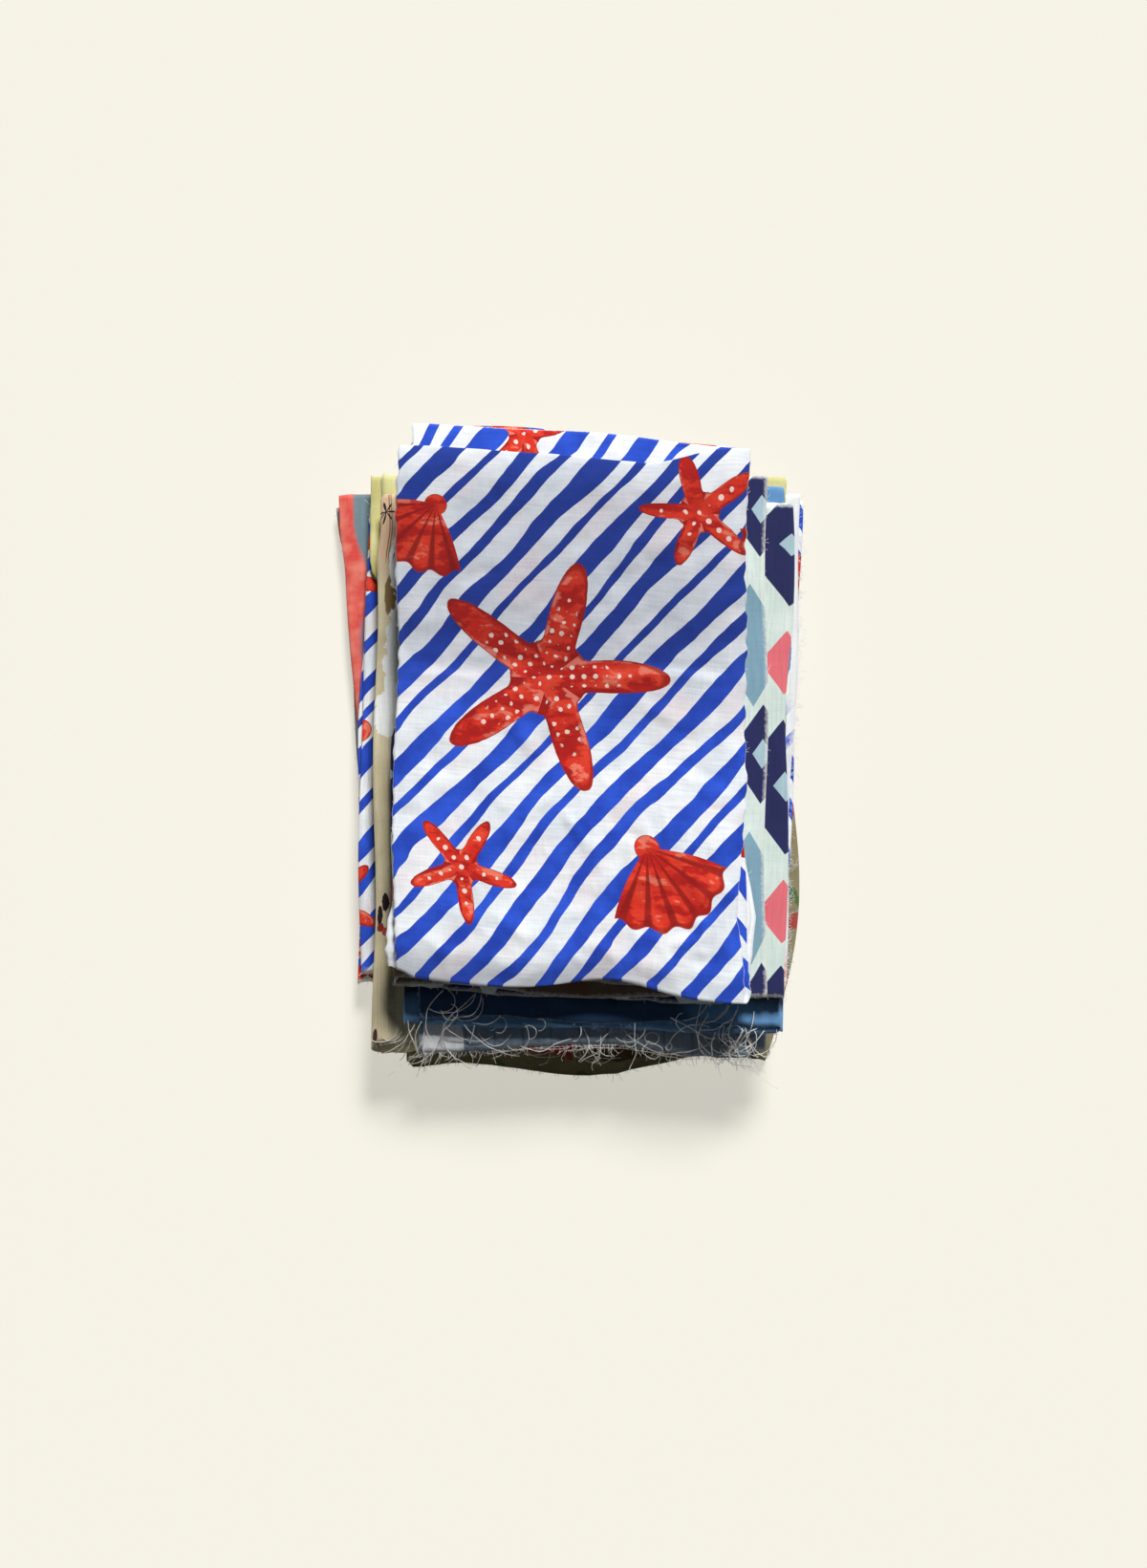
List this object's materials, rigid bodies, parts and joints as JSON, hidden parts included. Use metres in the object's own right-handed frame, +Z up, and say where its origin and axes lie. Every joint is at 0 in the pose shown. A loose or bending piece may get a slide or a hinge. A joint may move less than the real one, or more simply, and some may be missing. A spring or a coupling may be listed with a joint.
{
  "type": "fabric bundle",
  "caption": "Bundle of folded cotton remnants stacked flat on each other, with raw edges showing and one ravelled edge. It rests flat on its bottom cloth.",
  "frame": {"origin": "on the surface that the bundle lies on, under the middle of its box", "axes": "+X to the right, +Y to the back along the long side, +Z up through the pile"},
  "size_m": [0.1938, 0.2598, 0.0559],
  "materials": {
    "stripe_top_cotton": "white plain-weave cotton printed with royal blue diagonal stripes and red sea motifs",
    "geometric_cotton": "plain-weave cotton printed with mint, navy, teal and coral patchwork shapes",
    "blue_cotton": "mid-blue plain-weave cotton, matt",
    "grey_blue_cotton": "faded grey-blue plain-weave cotton, matt",
    "loose_threads": "ravelled cotton threads, pale grey",
    "beige_cotton": "khaki-beige cotton with white and brown blotches",
    "lime_cotton": "pale lime cotton with dark printed patches",
    "stripe_low_cotton": "the same stripe print as the top cloth",
    "coral_cotton": "cotton in soft bands of coral red and grey-teal",
    "floral_cotton": "khaki cotton printed with red flowers and green leaves"
  },
  "bodies": {
    "root": {"cloth_stripe_top": "stripe_top_cotton", "cloth_geometric": "geometric_cotton", "cloth_blue": "blue_cotton", "cloth_grey_blue": "grey_blue_cotton", "frayed_edge": "loose_threads", "cloth_beige": "beige_cotton", "cloth_lime": "lime_cotton", "cloth_stripe_low": "stripe_low_cotton", "cloth_coral": "coral_cotton", "cloth_floral": "floral_cotton"}
  },
  "joints": []
}
